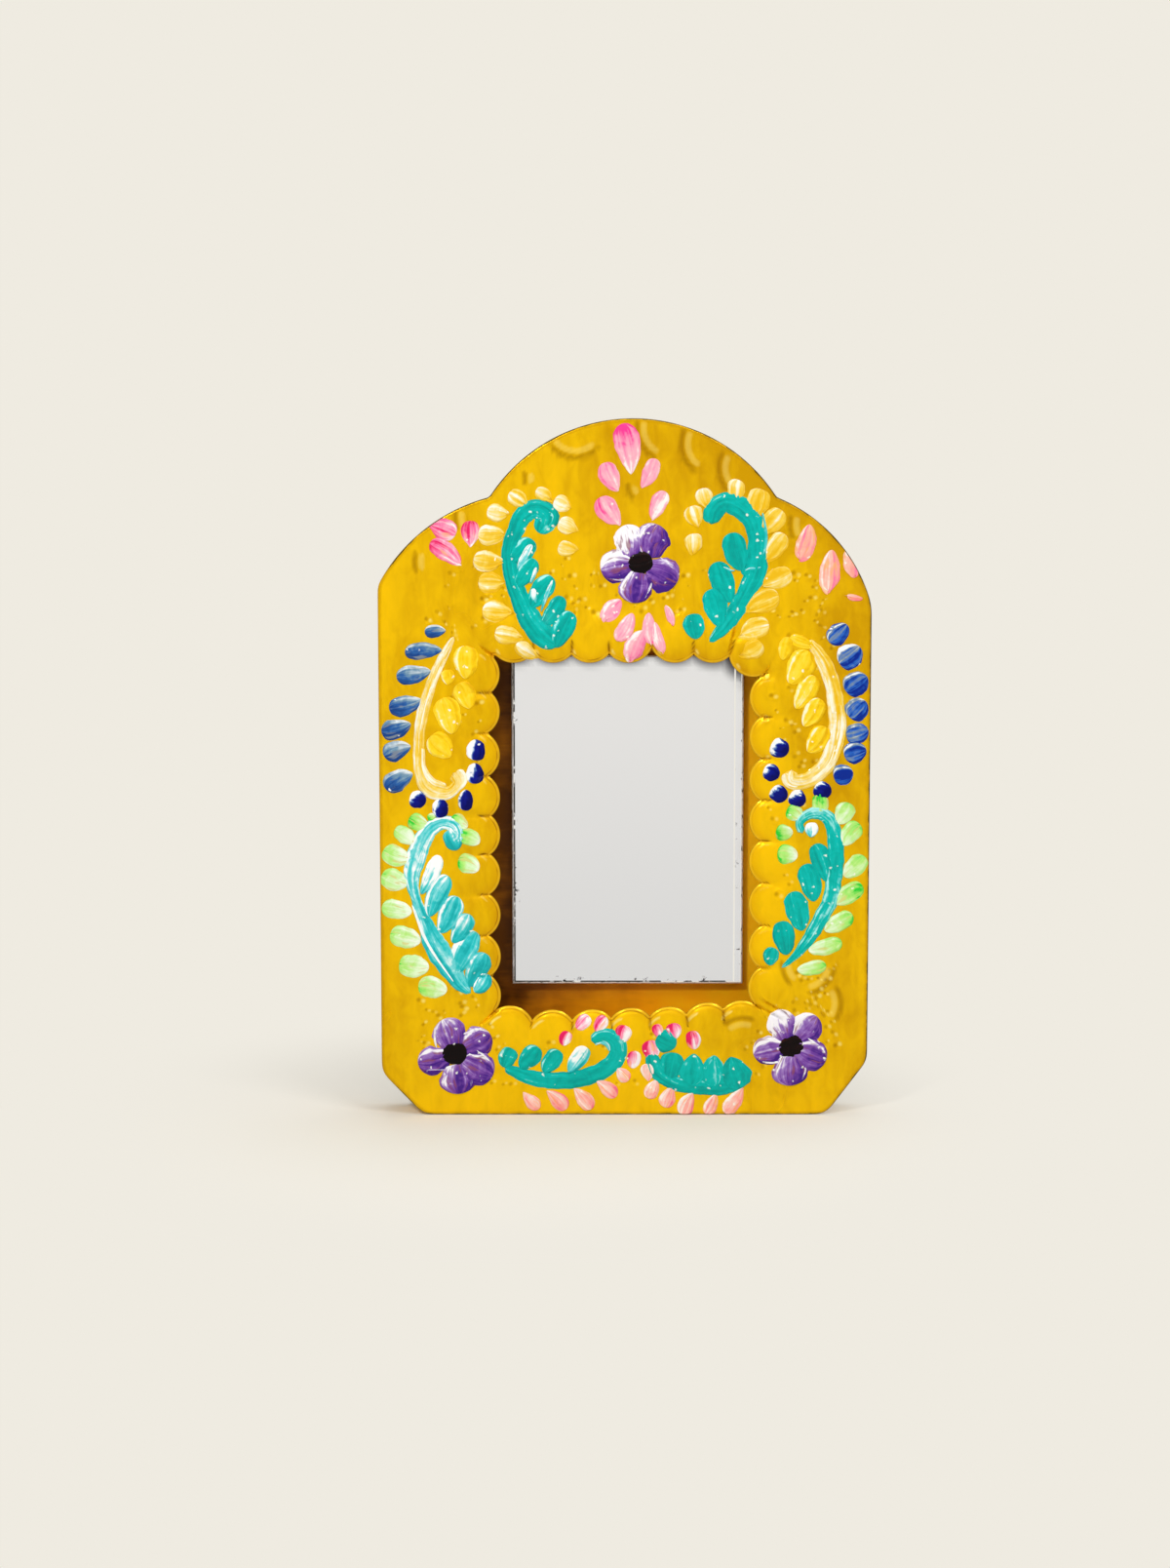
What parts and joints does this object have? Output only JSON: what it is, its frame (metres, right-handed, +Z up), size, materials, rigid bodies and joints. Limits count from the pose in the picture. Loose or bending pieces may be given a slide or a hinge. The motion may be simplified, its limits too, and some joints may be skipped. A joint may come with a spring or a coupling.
{
  "type": "tin wall mirror",
  "caption": "Arched tinplate wall mirror: a shallow soldered case with a beaten scalloped window, a recessed looking glass and a wire ring to hang it by.",
  "frame": {"origin": "middle of the bounding box in X and Y, on the surface that the two lips stand on", "axes": "+Z up, +X to the right of someone facing the mirror, -Y out of its front"},
  "size_m": [0.146, 0.021, 0.208],
  "materials": {
    "yellow_enamel": "glossy hand-brushed enamel over tinplate",
    "band_enamel": "thin glossy enamel over tinplate",
    "tinplate": "dull tinplate with handling marks",
    "solder": "satin soft solder",
    "looking_glass": "silvered glass",
    "glue": "cured silicone",
    "wire": "galvanised iron wire"
  },
  "bodies": {
    "case": {"front_sheet": "yellow_enamel", "crest_band": "band_enamel", "left_band": "band_enamel", "right_band": "band_enamel", "base_band": "band_enamel", "back_plate": "tinplate", "seam_solder": "solder", "mirror_glass": "looking_glass", "glue_spots": "glue", "hanger_strap": "tinplate", "strap_solder": "solder"},
    "ring": {"hanger_ring": "wire"}
  },
  "joints": [
    {"name": "ring_swing", "type": "hinge", "parent": "case", "child": "ring", "pos_m": [0, 0.00925, 0.178], "axis": [1, 0, 0], "range_deg": [-2, 175]}
  ]
}
